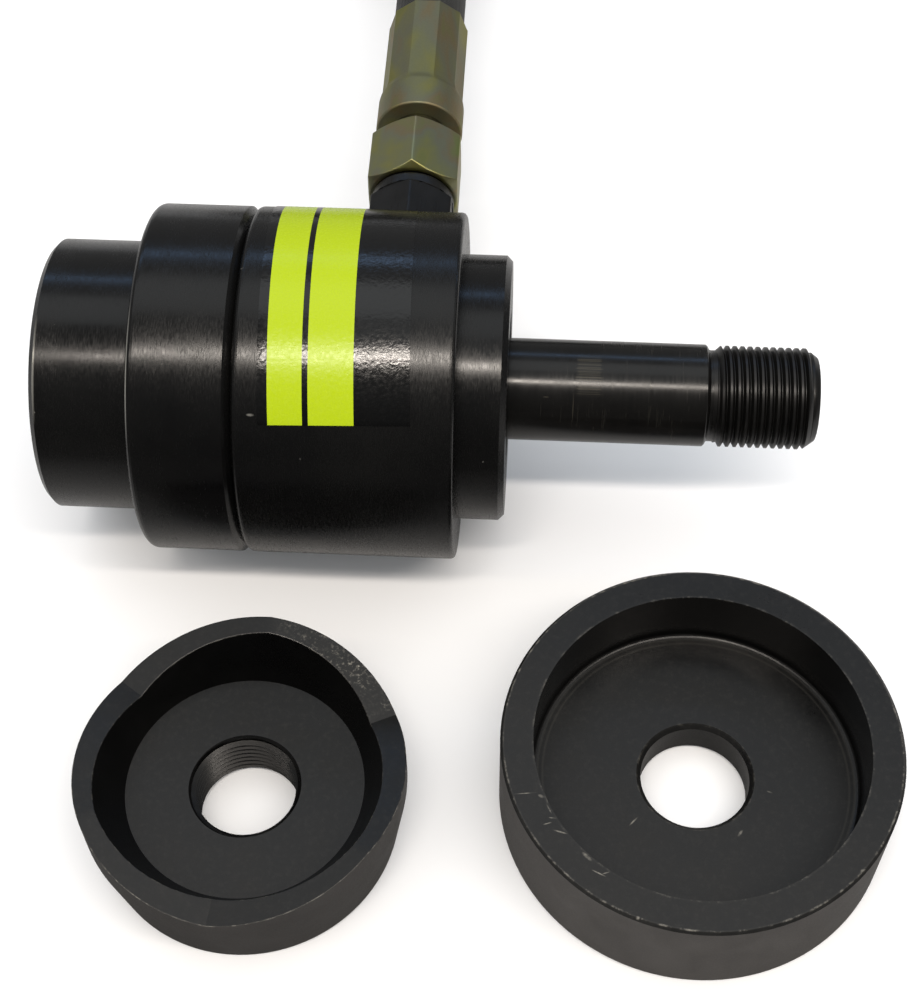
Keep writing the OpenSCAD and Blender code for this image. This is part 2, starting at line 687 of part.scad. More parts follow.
// Punch: a cup with a threaded web, whose rim is cut by V-shaped valleys into three tips
module punch() {
    blank_h = punch_tip_h + 1;
    reach = punch_d;
    valley_h = punch_tip_h - punch_valley;
    base_bevel = 0.6;
    cup_top_r = cup_floor_d / 2 + (blank_h - punch_web) * tan(cup_angle);
    color("#38393b") translate(punch_at) difference() {
        turned([
            [tap_r + tap_bevel, 0], [punch_base_d / 2 - base_bevel, 0], [punch_base_d / 2, base_bevel],
            [punch_r, punch_band_h], [punch_r, blank_h], [cup_top_r, blank_h], [cup_floor_d / 2, punch_web],
            [tap_r + tap_bevel, punch_web], [tap_r, punch_web - tap_bevel], [tap_r, tap_bevel]
        ]);
        for (i = [0:tip_count - 1])
            rotate([0, 0, tip_angle + (i + 0.5) * 360 / tip_count])
                translate([0, 0, valley_h]) rotate([90, 0, 90]) linear_extrude(reach)
                    polygon([[0, 0], [reach, reach * valley_slope], [-reach, reach * valley_slope]]);
    }
}

// Die: a cup with a bored web that seats on the nose
module die() {
    color("#343537") translate(die_at) turned(concat(
        [[die_bore_r + die_bore_bevel, 0], [die_r - die_bevel, 0], [die_r, die_bevel]],
        [[die_r, die_h - die_bevel], [die_r - die_bevel, die_h], [die_cup_r, die_h]],
        arc([die_cup_r - die_foot_r, die_web + die_foot_r], die_foot_r, 0, -90),
        [[die_bore_r + die_bore_bevel, die_web], [die_bore_r, die_web - die_bore_bevel]],
        [[die_bore_r, die_bore_bevel]]
    ));
}

cylinder_body();
rear_housing();
rod_seal();
rod_backup_ring();
piston();
piston_seal();
piston_backup_ring();
piston_guide_ring();
draw_stud();
return_spring();
port_nipple();
port_washer();
swivel_nut();
hose_stem();
hose_end();
hose_ferrule();
hose_run();
hose_coil();
hose_tail();
coil_ties();
far_hose_end();
far_ferrule();
far_stem();
far_swivel_nut();
punch();
die();
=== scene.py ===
import math

import bmesh
import bpy
from mathutils import Matrix, Vector


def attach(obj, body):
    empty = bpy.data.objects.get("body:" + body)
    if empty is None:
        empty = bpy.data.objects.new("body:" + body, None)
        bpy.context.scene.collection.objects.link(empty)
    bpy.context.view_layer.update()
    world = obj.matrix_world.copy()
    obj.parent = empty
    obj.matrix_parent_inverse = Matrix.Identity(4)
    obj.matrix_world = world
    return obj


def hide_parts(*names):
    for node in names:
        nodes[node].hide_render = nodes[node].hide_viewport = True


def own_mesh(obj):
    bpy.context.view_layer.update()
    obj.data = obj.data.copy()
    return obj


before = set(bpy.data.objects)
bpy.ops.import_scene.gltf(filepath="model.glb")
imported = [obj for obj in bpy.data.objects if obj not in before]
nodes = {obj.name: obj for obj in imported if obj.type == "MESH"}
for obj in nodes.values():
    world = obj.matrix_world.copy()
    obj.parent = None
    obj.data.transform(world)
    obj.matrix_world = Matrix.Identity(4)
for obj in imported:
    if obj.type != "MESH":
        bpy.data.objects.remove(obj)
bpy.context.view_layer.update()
scene = bpy.context.scene
mm = 0.001

# Camera: it stands close in front of the tool and looks steeply down on the table,
# with a moderate lens, so that the near die looks a little larger than the head.
image_height = 1000
focal_pixels = 1843
camera_place = (5.15 * mm, -225.69 * mm, 286.11 * mm)
yaw, pitch, roll = (math.radians(a) for a in (-3.75, 55.19, -0.90))


def set_at(place, right, up, back):
    """A placing matrix from a place and three directions."""
    return Matrix.Translation(place) @ Matrix((right, up, back)).transposed().to_4x4()


ahead = Vector((math.sin(yaw) * math.cos(pitch), math.cos(yaw) * math.cos(pitch), -math.sin(pitch)))
level = Vector((math.cos(yaw), -math.sin(yaw), 0))
above = level.cross(ahead)
side = level * math.cos(roll) + above * math.sin(roll)
top = above * math.cos(roll) - level * math.sin(roll)
camera_data = bpy.data.cameras.new("camera")
camera_data.sensor_width = 36
camera_data.lens = camera_data.sensor_width * focal_pixels / image_height
camera = bpy.data.objects.new("camera", camera_data)
camera.matrix_world = set_at(camera_place, side, top, -ahead)
scene.collection.objects.link(camera)
scene.camera = camera

# Pressure hose: two-layer rubber hose with a fabric-marked cover, 16 mm outside, crimped at both
# ends. It drops from the head to the table and lies behind the view in a tied coil.
hose_d = 16 * mm
hose_r = hose_d / 2
round_allowance = 1.004
hose_exit = Vector((-22.3, 104.471, 0)) * mm
run_offsets = (
    (0, 0, 0), (0, 14, 0), (0, 28, -1), (-1, 42, -5), (-3, 55, -10),
    (-7, 68, -15), (-13, 80, -20), (-20.5, 91.5, -23),
)
coil_mid = Vector((-2, 290.5, 0)) * mm
coil_r = 76 * mm
coil_step = 16.6 * mm
coil_from = 225
coil_turns = 2.1
coil_rings = 24
climb_turns = 0.5
coil_z = -24.2 * mm
tail_polar = ((165, 102, 16), (147, 109.5, 12), (130, 115, 7), (113, 117.5, 3.5), (97, 117, 1.6))
far_point = coil_mid + Vector((16 * mm, 116.5 * mm, coil_z + 1.5 * mm))


def around(angle, radius, height):
    """A point beside the coil's middle, from its direction in degrees."""
    turn = math.radians(angle)
    return coil_mid + Vector((radius * math.cos(turn), radius * math.sin(turn), height))


def coil_point(turns):
    """The hose's centre after some turns: it winds in, climbs one layer and winds out."""
    from_middle = turns - coil_turns / 2
    climb = min(1, max(0, from_middle / climb_turns + 0.5))
    height = coil_z + coil_step * climb * climb * (3 - 2 * climb)
    return around(coil_from - 360 * turns, coil_r + coil_step * abs(from_middle), height)


coil = [coil_point(i / coil_rings) for i in range(math.floor(coil_turns * coil_rings) + 1)]
way_step = 0.001
way_in = (coil_point(way_step) - coil_point(0)).normalized()
way_out = (coil_point(coil_turns) - coil_point(coil_turns - way_step)).normalized()
hose_route = [hose_exit + Vector(p) * mm for p in run_offsets]
hose_route += [coil[0] - 1.5 * hose_d * way_in, coil[0] - hose_d * way_in]
hose_route += coil
hose_route += [coil_point(coil_turns) + s * hose_d * way_out for s in (0, 1, 1.5)]
hose_route += [around(a, r * mm, coil_z + h * mm) for a, r, h in tail_polar]
hose_route += [far_point - Vector((hose_d, 0, 0)), far_point]

hose_line = bpy.data.curves.new("pressure_hose", "CURVE")
hose_line.dimensions = "3D"
hose_line.resolution_u = 6
hose_line.bevel_depth = hose_r * round_allowance
hose_line.bevel_resolution = 12
hose_line.use_fill_caps = True
hose_spline = hose_line.splines.new("BEZIER")
hose_spline.bezier_points.add(len(hose_route) - 1)
for knot, place in zip(hose_spline.bezier_points, hose_route):
    knot.co = place
    knot.handle_left_type = knot.handle_right_type = "AUTO"
hose = bpy.data.objects.new("pressure_hose", hose_line)
scene.collection.objects.link(hose)


def new_finish(name, **sockets):
    """A material with its Principled shader; sockets that are the same all over are set here."""
    finish = bpy.data.materials.new(name)
    finish.use_nodes = True
    shader = finish.node_tree.nodes["Principled BSDF"]
    for socket, value in sockets.items():
        shader.inputs[socket.replace("_", " ")].default_value = value
    return finish, finish.node_tree, shader


def wire(tree, kind, inputs, **settings):
    """Adds a node, sets it, joins its inputs and gives back its first output."""
    made = tree.nodes.new("ShaderNode" + kind)
    for name, value in settings.items():
        setattr(made, name, value)
    for name, value in inputs.items():
        if isinstance(value, bpy.types.NodeSocket):
            tree.links.new(value, made.inputs[name])
        else:
            made.inputs[name].default_value = value
    return made.outputs[0]


def math_of(tree, operation, *values):
    """One operation on one or two values."""
    return wire(tree, "Math", dict(enumerate(values)), operation=operation)


def xyz_of(tree, vector):
    """The three parts of a vector."""
    return wire(tree, "SeparateXYZ", {0: vector}).node.outputs


def spread(tree, value, low, high, to_low, to_high):
    """Maps a value's range on to another, with both ends held."""
    return wire(tree, "MapRange", {
        "Value": value, "From Min": low, "From Max": high, "To Min": to_low, "To Max": to_high})


def vary(tree, cloud, low, high):
    """Maps the usual range of a noise on to another."""
    return spread(tree, cloud, 0.3, 0.7, low, high)


def ramp(tree, value, *stops):
    """A colour ramp from (place, red, green, blue) stops."""
    made = tree.nodes.new("ShaderNodeValToRGB")
    tree.links.new(value, made.inputs[0])
    bar = made.color_ramp.elements
    while len(bar) < len(stops):
        bar.new(1)
    for mark, (place, *colour) in zip(bar, stops):
        mark.position = place
        mark.color = (*colour, 1)
    return made.outputs[0]


def noise(tree, place, scale, detail, **more):
    """Cloudy noise by its scale per metre."""
    return wire(tree, "TexNoise", {"Vector": place, "Scale": scale, "Detail": detail, **more})


def paint(tree, shader, colour, dullness):
    """Joins a colour and a roughness to the shader."""
    tree.links.new(colour, shader.inputs["Base Color"])
    tree.links.new(dullness, shader.inputs["Roughness"])


def bump(tree, shader, height, depth, strength):
    """Gives the shader a bumpy surface; depth is in metres."""
    relief = wire(tree, "Bump", {"Height": height, "Distance": depth, "Strength": strength})
    tree.links.new(relief, shader.inputs["Normal"])


def coordinate(tree, name):
    """A coordinate of the surface, by its name."""
    return tree.nodes.new("ShaderNodeTexCoord").outputs[name]


def on_piece(tree):
    """The place on a piece, in metres."""
    return coordinate(tree, "Object")


weave_lean = 22
weave_lengths = 1460 * 4.2
rubber, tree, shader = new_finish("wrapped_rubber", Specular_IOR_Level=0.35)
along_hose, round_hose, _ = xyz_of(tree, coordinate(tree, "UV"))
weave = []
for lean in (weave_lean, -weave_lean):
    lengths = math_of(tree, "MULTIPLY", along_hose, weave_lengths)
    rounds = math_of(tree, "MULTIPLY", round_hose, lean * math.tau)
    weave.append(math_of(tree, "SINE", math_of(tree, "ADD", lengths, rounds)))
cloth_mark = math_of(tree, "MULTIPLY", *weave)
dust = noise(tree, on_piece(tree), 90, 5)
paint(tree, shader, ramp(tree, dust, (0.3, 0.018, 0.018, 0.017), (0.75, 0.036, 0.036, 0.034)),
      vary(tree, dust, 0.42, 0.62))
bump(tree, shader, cloth_mark, 0.00012, 0.6)
hose_line.materials.append(rubber)


def coat(finish, *names):
    """Gives CAD nodes a finish."""
    for name in names:
        nodes[name].data.materials.clear()
        nodes[name].data.materials.append(finish)


coat(rubber, "hose_end", "far_hose_end")
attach(hose, "head")
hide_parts("hose_run", "hose_coil", "hose_tail")

# Coil ties: two black hook-and-loop straps, each sewn to a loop round the coil's two layers and
# closed by pressing its tail on the outside. They keep the hose off the table.
strap_w = 16 * mm
strap_t = 1.4 * mm
strap_gap = 0.4 * mm
strap_tail = 6 * mm
strap_tail_wrap = 120
strap_edge = 0.3 * mm
strap, tree, shader = new_finish("hook_and_loop", Specular_IOR_Level=0.1, Sheen_Weight=0.35)
place = on_piece(tree)
loops = wire(tree, "TexVoronoi", {"Vector": place, "Scale": 1500})
fluff = noise(tree, place, 2600, 4)
paint(tree, shader, ramp(tree, fluff, (0.3, 0.008, 0.008, 0.009), (0.7, 0.030, 0.030, 0.032)),
      spread(tree, fluff, 0.2, 0.8, 0.75, 0.95))
bump(tree, shader, math_of(tree, "ADD", loops, fluff), 0.0003, 0.7)


def finish_mesh(name, shape, *finishes, sharp=35):
    """Closes a bmesh into an object with smooth faces and its hard edges kept."""
    mesh = bpy.data.meshes.new(name)
    shape.to_mesh(mesh)
    shape.free()
    for finish in finishes:
        mesh.materials.append(finish)
    mesh.shade_smooth()
    mesh.set_sharp_from_angle(angle=math.radians(sharp))
    made = bpy.data.objects.new(name, mesh)
    scene.collection.objects.link(made)
    return made


def thicken(made, name, thickness):
    """Gives a sheet its thickness, on the outside."""
    wall = made.modifiers.new(name, "SOLIDIFY")
    wall.thickness = thickness
    wall.offset = 1


def draw_line(shape, points):
    """Draws an open line; gives back its points and its edges."""
    dots = [shape.verts.new(p) for p in points]
    return dots, [shape.edges.new(pair) for pair in zip(dots, dots[1:])]


def edges_in(found):
    """The edges among what an operator gives back."""
    return [g for g in found if isinstance(g, bmesh.types.BMEdge)]


def pull_out(shape, edges, way):
    """Draws edges out along a way and gives back their far ends."""
    near = {v for e in edges for v in e.verts}
    made = bmesh.ops.extrude_edge_only(shape, edges=edges)
    far = [e for e in edges_in(made["geom"]) if not near.intersection(e.verts)]
    bmesh.ops.translate(shape, verts=list({v for e in far for v in e.verts}), vec=way)
    return far


def join_points(shape, apart):
    """Joins points that are less than a few hundredths of a millimetre apart."""
    bmesh.ops.remove_doubles(shape, verts=shape.verts, dist=apart * mm)


def close_up(shape, apart):
    """Joins points that meet and turns all faces outward."""
    join_points(shape, apart)
    bmesh.ops.recalc_face_normals(shape, faces=shape.faces)


def strap_loop(ring):
    """A strap round the two hose layers midway between two rings, closed with a tail."""
    low = coil_point((ring + 0.5) / coil_rings)
    high = coil_point((ring + 0.5) / coil_rings + 1)
    along = (coil_point((ring + 0.6) / coil_rings) - coil_point((ring + 0.4) / coil_rings)).normalized()
    reach = high - low
    rise = reach.normalized()
    across = along.cross(rise).normalized()
    radius = hose_r + strap_gap
    shape = bmesh.new()

    def cross_edge(middle):
        return draw_line(shape, [middle + along * s * strap_w / 2 for s in (-1, 1)])[1]

    edge = cross_edge(low - across * radius)
    for centre, run in ((low, reach), (high, -reach)):
        made = bmesh.ops.spin(shape, geom=edge, cent=centre, axis=along, angle=-math.pi, steps=18)
        edge = pull_out(shape, edges_in(made["geom_last"]), run)
    join_points(shape, 0.05)
    edge = cross_edge(high - rise * strap_tail - across * (radius + strap_t))
    edge = pull_out(shape, edge, rise * strap_tail)
    bmesh.ops.spin(shape, geom=edge, cent=high, axis=along, angle=math.radians(strap_tail_wrap), steps=12)
    close_up(shape, 0.05)
    return shape


for name, ring in (("coil_tie_near", 9), ("coil_tie_far", 16)):
    tie = finish_mesh(name, strap_loop(ring), strap)
    thicken(tie, "wall", strap_t)
    edges = tie.modifiers.new("edges", "BEVEL")
    edges.width = strap_edge
    edges.segments = 2
    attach(tie, "head")
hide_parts("coil_ties")

# Hose fittings: swivel nut, stem and ferrule of free-cutting steel at each end, zinc plated and
# yellow passivated, which leaves clouds of straw, olive and pink. The ferrule is crimped to ten
# flats, with a ridge wherever two crimping dies met.
nut_af = 19
nut_near, nut_shoulder, nut_far = 50.271, 62.721, 65.371
nut_face_r = 9.15
nut_hole_r, nut_bore_r = 6.15, 8.05
nut_mouth = 0.5
ferrule_near, crimp_near, ferrule_far = 69.971, 79.971, 104.471
ferrule_hole_r, ferrule_bore_r, collar_r = 6.05, 7.3, 9.45
ferrule_end_t = 4
collar_bevel = 0.3
collar_end, dip_at, crimp_full = (crimp_near + s for s in (-2.2, -1.3, 0.9))
dip_depth = 0.12
crimp_af = 17
crimp_flats = 10
ridge_h = 0.22
port_x = -22.3
hex_bevel = math.tan(math.radians(30))


def round_ring(radius, height):
    """A turned ring of a fitting, in millimetres."""
    return lambda angle: (radius, height)


def round_rings(*places):
    """Turned rings, each at (radius, height)."""
    return [round_ring(*place) for place in places]


def hex_ring(across_flats, face_r, height, way):
    """A ring of hexagon bar whose corners are turned off towards a face of radius face_r."""
    def ring(angle):
        radius = across_flats / 2 / math.cos(math.radians((angle + 30) % 60 - 30))
        return radius, height + way * max(0, radius - face_r) * hex_bevel
    return ring


def crimp_ring(inset, height):
    """A ring of the crimped sleeve: flats with a raised ridge between two of them."""
    half_flat = 180 / crimp_flats

    def ring(angle):
        from_flat = abs((angle + 90 + half_flat) % (2 * half_flat) - half_flat)
        on_ridge = from_flat > half_flat - 1
        turn = math.radians(half_flat - 3 if on_ridge else from_flat)
        return crimp_af / 2 / math.cos(turn) + ridge_h * on_ridge - inset, height
    return ring


def loft(rings, steps=120):
    """Joins rings round the Z axis, and the last to the first, into one closed turned shape."""
    shape = bmesh.new()
    loops = []
    for ring in rings:
        made = bmesh.ops.create_circle(shape, segments=steps, radius=1)
        for vert in made["verts"]:
            radius, height = ring(math.degrees(math.atan2(vert.co.y, vert.co.x)))
            vert.co = Vector((vert.co.x * radius, vert.co.y * radius, height)) * mm
        loops.append(list(dict.fromkeys(e for v in made["verts"] for e in v.link_edges)))
    for near, far in zip(loops, loops[1:] + loops[:1]):
        bmesh.ops.bridge_loops(shape, edges=near + far)
    bmesh.ops.recalc_face_normals(shape, faces=shape.faces)
    return shape


def round_hard_edges(shape, least_angle, width, chosen):
    """Rounds the chosen ones of the hard edges; gives back the new faces."""
    hard = [e for e in shape.edges if len(e.link_faces) == 2
            and e.calc_face_angle() > math.radians(least_angle) and all(chosen(v.co) for v in e.verts)]
    return bmesh.ops.bevel(shape, geom=hard, offset=width * mm, offset_type="OFFSET", segments=2,
                           profile=0.5, affect="EDGES", material=-1)["faces"]


def break_edges(shape, least_r, width):
    """Rounds the hard edges of a fitting that lie outside a radius."""
    round_hard_edges(shape, 22, width, lambda co: co.xy.length > least_r * mm)


def nut_shape():
    shape = loft((
        *round_rings((nut_bore_r + nut_mouth, nut_near), (nut_face_r, nut_near)),
        hex_ring(nut_af, nut_face_r, nut_near, 1), hex_ring(nut_af, nut_face_r, nut_far, -1),
        *round_rings((nut_face_r, nut_far), (nut_hole_r, nut_far),
                     (nut_hole_r, nut_shoulder + nut_bore_r - nut_hole_r),
                     (nut_bore_r, nut_shoulder), (nut_bore_r, nut_near + nut_mouth))))
    break_edges(shape, nut_bore_r + 0.7, 0.2)
    return shape


def ferrule_shape():
    shape = loft((
        *round_rings((ferrule_hole_r, ferrule_near), (collar_r - collar_bevel, ferrule_near),
                     (collar_r, ferrule_near + collar_bevel), (collar_r, collar_end),
                     (collar_r - dip_depth, dip_at)),
        crimp_ring(0, crimp_full), crimp_ring(0, ferrule_far - 0.5), crimp_ring(0.4, ferrule_far),
        *round_rings((hose_r / mm + 0.03, ferrule_far), (ferrule_bore_r, ferrule_far - 0.6),
                     (ferrule_bore_r, ferrule_near + ferrule_end_t),
                     (ferrule_hole_r, ferrule_near + ferrule_end_t))))
    break_edges(shape, hose_r / mm + 0.4, 0.12)
    return shape


def stretched(tree, place, scale, detail, **more):
    """Noise by its scale per metre on each axis."""
    return noise(tree, wire(tree, "Mapping", {"Vector": place, "Scale": scale}), 1, detail, **more)


def zinc_plate(name, shade, dull):
    """Yellow-passivated zinc with its clouds of colour."""
    finish, tree, shader = new_finish(name, Metallic=1.0)
    place = on_piece(tree)
    cloud = stretched(tree, place, (90, 40, 90), 4, Roughness=0.5, Distortion=0.4)
    fine = noise(tree, place, 2200, 4)
    tint = ramp(tree, cloud, *((at, *(shade * c for c in colour)) for at, colour in (
        (0.28, (0.25, 0.28, 0.10)), (0.40, (0.33, 0.31, 0.11)), (0.47, (0.29, 0.285, 0.15)),
        (0.53, (0.27, 0.265, 0.175)), (0.59, (0.30, 0.245, 0.14)), (0.68, (0.25, 0.28, 0.10)))))
    paint(tree, shader, tint, math_of(
        tree, "ADD", vary(tree, fine, -0.04, 0.05), vary(tree, cloud, dull - 0.04, dull + 0.04)))
    bump(tree, shader, fine, 0.000008, 0.5)
    return finish


nut_zinc = zinc_plate("bright_zinc_plate", 1.2, 0.38)
crimp_zinc = zinc_plate("dull_zinc_plate", 0.9, 0.56)
# The stems take a much darker copy of the plating: painted shade in the gap between nut and ferrule.
coat(zinc_plate("painted_shade_zinc_plate", 0.4, 0.45), "hose_stem", "far_stem")
to_port = Matrix.Translation((port_x * mm, 0, 0)) @ Matrix.Rotation(-math.pi / 2, 4, "X")
to_far_end = (Matrix.Translation(far_point) @ Matrix.Rotation(math.pi / 2, 4, "Z")
              @ Matrix.Translation(-hose_exit) @ to_port)


def even_shading(made):
    """Shades flats by their large faces, not by their rounded edges."""
    made.modifiers.new("even_shading", "WEIGHTED_NORMAL").keep_sharp = True


def fit_piece(name, shape, way, finish, body, node):
    """Sets a lofted shape in its place on the hose or the head, in place of a CAD node."""
    bmesh.ops.transform(shape, matrix=way, verts=shape.verts)
    made = finish_mesh(name, shape, finish)
    even_shading(made)
    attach(made, body)
    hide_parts(node)
    return made


fit_piece("hexagon_swivel_nut", nut_shape(), to_port, nut_zinc, "head", "swivel_nut")
fit_piece("crimped_ferrule", ferrule_shape(), to_port, crimp_zinc, "head", "hose_ferrule")
far_pieces = [
    fit_piece("far_crimped_ferrule", ferrule_shape(), to_far_end, crimp_zinc, "head", "far_ferrule"),
    fit_piece("far_hexagon_nut", nut_shape(), to_far_end, nut_zinc, "far_nut", "far_swivel_nut"),
    nodes["far_stem"],
    nodes["far_hose_end"],
]

# Cylinder body: turned from one bar, bored and drilled, then blackened hot and oiled. The turning
# leaves short glints all along it and fine rings on its end faces, and use has left two scuffs.
head_black = 0.003
bare_steel = (0.42, 0.41, 0.37)
edge_glint_turn = 0.65
body_scuffs = (
    ((-45.95, -25.73, 22.23), (49, 0, 0), (0.8, 0.3, 0.5)),
    ((-36.96, -30.25, 15.52), (63, 0, 0), (0.2, 0.3, 0.5)))


def blend_colour(tree, share, under, over):
    """One colour over another by a share; each is a socket or a plain colour."""
    made = tree.nodes.new("ShaderNodeMix")
    made.data_type = "RGBA"
    for index, value in ((0, share), (6, under), (7, over)):
        if isinstance(value, bpy.types.NodeSocket):
            tree.links.new(value, made.inputs[index])
        else:
            made.inputs[index].default_value = (*value, 1)
    return made.outputs[2]


def line_noise(tree, value, scale, detail, **more):
    """Noise along a single value."""
    return wire(tree, "TexNoise", {"W": value, "Scale": scale, "Detail": detail, **more},
                noise_dimensions="1D")


def measure(tree, operation, *vectors):
    """One number from vectors, such as a length."""
    return wire(tree, "VectorMath", dict(enumerate(vectors)), operation=operation).node.outputs["Value"]


def across_axis(tree, place, axis):
    """The share of a place that lies across an axis."""
    kept = tuple(float(a != axis) for a in "XYZ")
    return wire(tree, "VectorMath", {0: place, 1: kept}, operation="MULTIPLY")


def from_axis(tree, place, axis):
    """Splits a place into its distance along an axis and its distance from it."""
    return xyz_of(tree, place)[axis], measure(tree, "LENGTH", across_axis(tree, place, axis))


def turn_of(tree, place):
    """The direction round the X axis, in radians from straight up towards the camera."""
    _, y, z = xyz_of(tree, place)
    return math_of(tree, "ARCTAN2", math_of(tree, "MULTIPLY", y, -1.0), z)


def away_from(tree, value, middle):
    """How far a value is from a middle one."""
    return math_of(tree, "ABSOLUTE", math_of(tree, "SUBTRACT", value, middle))


def fold(tree, operation, first, *others):
    """Works through some values with one operation, two at a time."""
    for value in others:
        first = math_of(tree, operation, first, value)
    return first


def near_edges(tree, along, radius, edges, reach):
    """How near a point is to one of a few turned edges, each at (along, radius) in millimetres."""
    shares = []
    for edge_along, edge_r in edges:
        away = math_of(tree, "ADD", away_from(tree, along, edge_along * mm),
                       away_from(tree, radius, edge_r * mm))
        shares.append(spread(tree, away, 0.3 * reach * mm, reach * mm, 1, 0))
    return fold(tree, "MAXIMUM", *shares)


def scuffs(tree, place, marks):
    """Short marks, each by its middle, its turn in degrees and its half sizes, in millimetres."""
    shares = []
    for middle, turn, half in marks:
        local = wire(tree, "Mapping", {
            "Vector": place, "Location": Vector(middle) * mm, "Rotation": [math.radians(a) for a in turn],
            "Scale": Vector(half) * mm}, vector_type="TEXTURE")
        shares.append(spread(tree, measure(tree, "LENGTH", local), 0.35, 1, 1, 0))
    return fold(tree, "MAXIMUM", *shares)


def turned_black(name, gloss, edges, marks):
    """Black-oxide steel turned about the X axis, with glints on rounds and rings on end faces."""
    finish, tree, shader = new_finish(name, Specular_IOR_Level=0.36)
    place = on_piece(tree)
    along, radius = from_axis(tree, place, "X")
    rings = line_noise(tree, radius, 2400, 3, Roughness=0.65)
    glint = stretched(tree, place, (4400, 900, 900), 2)
    bands = line_noise(tree, math_of(tree, "ADD", along, radius), 160, 2)
    smudge = noise(tree, place, 55, 5, Roughness=0.6)
    speck = noise(tree, place, 620, 2)
    bare = [spread(tree, speck, 0.775, 0.80, 0, 0.25),
            math_of(tree, "MULTIPLY", scuffs(tree, place, marks), spread(tree, speck, 0.35, 0.6, 0.05, 0.4))]
    if edges:
        # Painted edge glint: bare steel on the chosen edges, only in a band facing the overhead tube.
        held = spread(tree, away_from(tree, turn_of(tree, place), edge_glint_turn), 0.1, 0.4, 0.5, 0.0)
        bare.append(math_of(tree, "MULTIPLY", near_edges(tree, along, radius, edges, 0.35), held))
    bare = fold(tree, "MAXIMUM", *bare)
    skin = ramp(tree, smudge, (0.25, head_black * 0.7, head_black * 0.7, head_black * 0.75),
                (0.75, head_black * 1.5, head_black * 1.48, head_black * 1.4))
    tree.links.new(bare, shader.inputs["Metallic"])
    paint(tree, shader, blend_colour(tree, bare, skin, bare_steel), fold(
        tree, "ADD", vary(tree, glint, -0.065, 0.065), vary(tree, smudge, gloss - 0.03, gloss + 0.03),
        vary(tree, bands, -0.02, 0.02)))
    bump(tree, shader, math_of(tree, "ADD", math_of(tree, "MULTIPLY", rings, 0.5), glint), 0.000009, 0.8)
    return finish


coat(turned_black("blackened_body", 0.25, (), body_scuffs), "cylinder_body")

# Label: a thin printed film, rubbed down round the body a little askew. Its bands are plain
# fluorescent yellow on black, and the film has small ripples that break the light.
label_r = 34.02 * mm
film_t = 0.12 * mm
label_left = -44.6 * mm
label_height = 66 * mm
label_steps = 60
label_lean = 1.65
lean_slope = math.tan(math.radians(label_lean))
band_edges = (0, 1.8, 8.1, 9.17, 17.43, 27.55)
yellow_bands = (1, 3)
foot_angle = math.radians(52.2)


def film(name, colour, gloss, shine):
    """Printed glossy film with small ripples."""
    finish, tree, shader = new_finish(name, Base_Color=(*colour, 1), Specular_IOR_Level=shine)
    place = on_piece(tree)
    ripple = noise(tree, place, 1300, 3, Roughness=0.55)
    worn = noise(tree, place, 1400, 3)
    tree.links.new(vary(tree, worn, gloss - 0.05, gloss + 0.07), shader.inputs["Roughness"])
    bump(tree, shader, ripple, 0.000065, 0.6)
    return finish


foot = []
for x in band_edges:
    angle = foot_angle - x * mm * lean_slope / label_r
    foot.append((label_left + x * mm, -label_r * math.sin(angle), label_r * math.cos(angle)))
shape = bmesh.new()
bmesh.ops.spin(
    shape, geom=draw_line(shape, foot)[1], cent=(0, 0, 0), axis=(1, 0, 0), angle=-label_height / label_r,
    steps=label_steps, dvec=(-label_height * lean_slope / label_steps, 0, 0))
for face in shape.faces:
    middle = face.calc_center_median()
    from_foot = label_r * (foot_angle - math.atan2(-middle.y, middle.z))
    x = (middle.x - label_left + from_foot * lean_slope) / mm
    band = sum(x > edge for edge in band_edges) - 1
    face.material_index = 1 if band in yellow_bands else 0
bmesh.ops.recalc_face_normals(shape, faces=shape.faces)
label = finish_mesh("body_label", shape, film("label_black", (0.0012, 0.0012, 0.0012), 0.16, 0.54),
                    film("label_yellow", (0.345, 0.455, 0.0025), 0.25, 0.36))
thicken(label, "film", film_t)
even_shading(label)
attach(label, "head")

# Rear housing: collar and spring boss in one piece, screwed over the body's spigot until the two
# faces meet. It is turned and blackened like the body. Its two rear edges are bare steel only in a
# band that faces the overhead tube: a painted edge glint.
housing_edges = ((-68.76, 33.56), (-87.7, 26.5))
housing_scuffs = (((-62, -21.5, 25.6), (0, 0, 0), (0.15, 0.5, 0.4)),)
coat(turned_black("blackened_housing", 0.225, housing_edges, housing_scuffs), "rear_housing")

# Seals: moulded polyurethane lip rings on the rod and the piston, backed by cut white rings, with
# a bronze-filled guide ring that carries the piston. All of them are shut inside the head.


def plain_ring(name, colour, grain, gloss):
    """A moulded or cut ring with a slightly uneven colour."""
    finish, tree, shader = new_finish(name)
    mottle = noise(tree, on_piece(tree), grain, 4)
    paint(tree, shader, ramp(tree, mottle, (0.3, *(c * 0.8 for c in colour)), (0.7, *colour)),
          vary(tree, mottle, gloss - 0.06, gloss + 0.06))
    bump(tree, shader, mottle, 0.00003, 0.5)
    return finish


coat(plain_ring("seal_polyurethane", (0.55, 0.38, 0.05), 300, 0.35), "rod_seal", "piston_seal")
coat(plain_ring("cut_white_ring", (0.75, 0.73, 0.66), 900, 0.5), "rod_backup_ring", "piston_backup_ring")
coat(plain_ring("bronze_filled_ring", (0.26, 0.15, 0.07), 700, 0.5), "piston_guide_ring")

# Piston: rod and head in one piece of ground alloy steel, tapped for the stud. Only the ring of
# its rod end shows, just inside the nose.
ground, tree, shader = new_finish("ground_steel", Metallic=1.0)
grind = stretched(tree, on_piece(tree), (9000, 300, 300), 3)
paint(tree, shader, ramp(tree, grind, (0.3, 0.30, 0.31, 0.32), (0.7, 0.44, 0.45, 0.46)),
      vary(tree, grind, 0.2, 0.36))
bump(tree, shader, grind, 0.000004, 0.6)
coat(ground, "piston")
